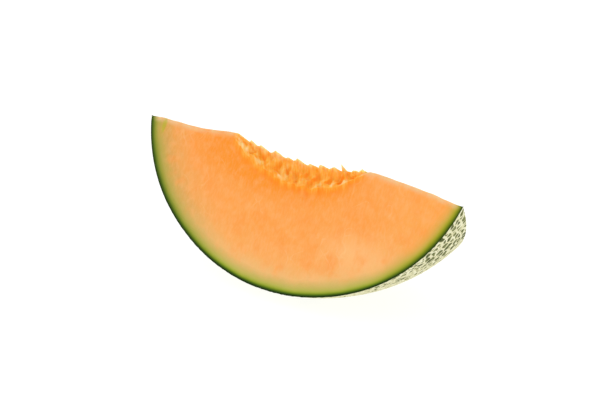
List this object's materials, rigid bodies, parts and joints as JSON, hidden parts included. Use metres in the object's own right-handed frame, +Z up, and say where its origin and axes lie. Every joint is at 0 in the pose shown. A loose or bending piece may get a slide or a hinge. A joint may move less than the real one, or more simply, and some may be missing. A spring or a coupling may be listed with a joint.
{
  "type": "cantaloupe wedge",
  "caption": "Wedge of netted cantaloupe melon cut lengthwise, with flat cut faces, a scooped seed hollow along the core edge and a curved rind that it stands on.",
  "frame": {"origin": "middle of the bounding box in X and Y, on the surface that the wedge stands on", "axes": "+X along the melon's own axis, the wedge's longest extent; +Z up, from the rind it stands on to the core edge; -Y towards the flat front cut"},
  "size_m": [0.1634, 0.0584, 0.0568],
  "materials": {
    "melon_flesh": "moist orange flesh fading to green under a dark green rind with a raised cream net"
  },
  "bodies": {
    "root": {"melon_wedge": "melon_flesh"}
  },
  "joints": []
}
